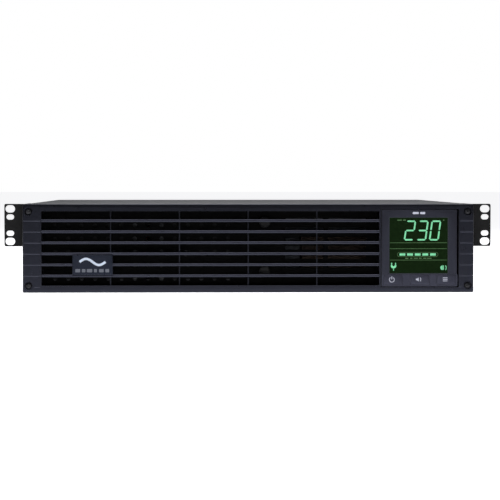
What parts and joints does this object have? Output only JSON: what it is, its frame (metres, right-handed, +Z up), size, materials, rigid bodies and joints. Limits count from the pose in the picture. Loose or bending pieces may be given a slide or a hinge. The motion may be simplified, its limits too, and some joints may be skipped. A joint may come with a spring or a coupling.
{
  "type": "rack uninterruptible power supply",
  "caption": "Low rack-mounted uninterruptible power supply with a louvred bezel, square status display, sliding battery tray and rear outlets.",
  "frame": {"origin": "on the underside, midway between the rack ears, in the plane of the ears' front faces", "axes": "+X to the right seen from the front, the front faces -Y, +Z up"},
  "size_m": [0.4766, 0.4901, 0.086],
  "materials": {
    "case_paint": "fine-textured black powder coat",
    "ear_paint": "satin black powder coat",
    "bezel_plastic": "fine-grained moulded charcoal",
    "badge_plastic": "satin slate with pale marks",
    "display_plastic": "fine-grained moulded charcoal",
    "display_glass": "clear flat window",
    "display_face": "dark green display with lit mint segments",
    "key_plastic": "smooth charcoal caps with pale symbols",
    "circuit_board": "green coated board",
    "zinc_steel": "zinc-plated sheet",
    "black_screws": "black oxide",
    "thumb_black": "knurled black oxide",
    "battery_case": "dark grey battery case",
    "coil_tape": "coil wrapped in dark varnished tape",
    "core_steel": "stacked laminations",
    "heatsink": "extruded aluminium",
    "component_black": "moulded component cases",
    "socket_plastic": "black moulded sockets",
    "contact_metal": "plated contacts",
    "guard_wire": "bright plated wire",
    "port_metal": "plated port shells",
    "cable_sleeve": "insulated cable",
    "ribbon": "grey flat cable"
  },
  "bodies": {
    "chassis": {"chassis_base": "case_paint", "top_cover": "case_paint", "front_plate": "case_paint", "rear_panel": "case_paint", "bay_divider": "zinc_steel", "bay_rear_wall": "zinc_steel", "rack_ear_left": "ear_paint", "rack_ear_right": "ear_paint", "ear_screws": "black_screws", "case_screws": "black_screws", "display_ribbon": "ribbon", "dock_socket": "component_black", "battery_leads": "cable_sleeve", "transformer_core": "core_steel", "transformer_windings": "coil_tape", "transformer_frame": "zinc_steel", "power_board": "circuit_board", "inverter_board": "circuit_board", "inverter_heatsinks": "heatsink", "power_transistors": "component_black", "capacitors": "component_black", "relays": "component_black", "outlet_bank_upper": "socket_plastic", "outlet_bank_lower": "socket_plastic", "power_inlet": "socket_plastic", "inlet_pins": "contact_metal", "breaker_bodies": "socket_plastic", "fan_housing": "socket_plastic", "fan_guard": "guard_wire", "fan_screws": "black_screws", "slot_cover": "case_paint", "slot_cover_screws": "black_screws", "serial_port": "port_metal", "usb_port": "port_metal", "modular_jacks": "socket_plastic", "external_battery_socket": "socket_plastic", "ground_stud": "contact_metal"},
    "bezel": {"front_bezel": "bezel_plastic", "badge_plate": "badge_plastic", "bezel_screws": "black_screws"},
    "tray": {"battery_tray": "zinc_steel", "tray_door": "case_paint", "tray_thumbscrews": "thumb_black", "tray_handle": "black_screws", "battery_1": "battery_case", "battery_2": "battery_case", "battery_3": "battery_case", "battery_4": "battery_case", "battery_links": "cable_sleeve", "dock_plug": "component_black"},
    "display": {"display_housing": "display_plastic", "display_window": "display_glass", "display_panel": "display_face", "display_board": "circuit_board"},
    "key_power": {"power_key": "key_plastic"},
    "key_mute": {"mute_key": "key_plastic"},
    "key_menu": {"menu_key": "key_plastic"},
    "breaker_reset_1": {"breaker_button_1": "socket_plastic"},
    "breaker_reset_2": {"breaker_button_2": "socket_plastic"},
    "rotor": {"fan_rotor": "socket_plastic"}
  },
  "joints": [
    {"name": "tray_slide", "type": "slide", "parent": "chassis", "child": "tray", "axis": [0, -1, 0], "range_m": [0, 0.34]},
    {"name": "bezel_pull", "type": "slide", "parent": "chassis", "child": "bezel", "axis": [0, -1, 0], "range_m": [0, 0.4]},
    {"name": "display_pull", "type": "slide", "parent": "chassis", "child": "display", "axis": [0, -1, 0], "range_m": [0, 0.03], "deforming": ["display_ribbon"]},
    {"name": "power_key_press", "type": "slide", "parent": "display", "child": "key_power", "axis": [0, 1, 0], "range_m": [0, 0.0008], "stiffness_N_per_m": 400},
    {"name": "mute_key_press", "type": "slide", "parent": "display", "child": "key_mute", "axis": [0, 1, 0], "range_m": [0, 0.0008], "stiffness_N_per_m": 400},
    {"name": "menu_key_press", "type": "slide", "parent": "display", "child": "key_menu", "axis": [0, 1, 0], "range_m": [0, 0.0008], "stiffness_N_per_m": 400},
    {"name": "breaker_trip_1", "type": "slide", "parent": "chassis", "child": "breaker_reset_1", "axis": [0, 1, 0], "range_m": [0, 0.003]},
    {"name": "breaker_trip_2", "type": "slide", "parent": "chassis", "child": "breaker_reset_2", "axis": [0, 1, 0], "range_m": [0, 0.003]},
    {"name": "fan_spin", "type": "hinge", "parent": "chassis", "child": "rotor", "pos_m": [-0.165, 0.4458, 0.0432], "axis": [0, 1, 0], "continuous": true}
  ],
  "couplings": [
    {"joint": "bezel_pull", "follows": "tray_slide", "ratio": 1.15}
  ]
}
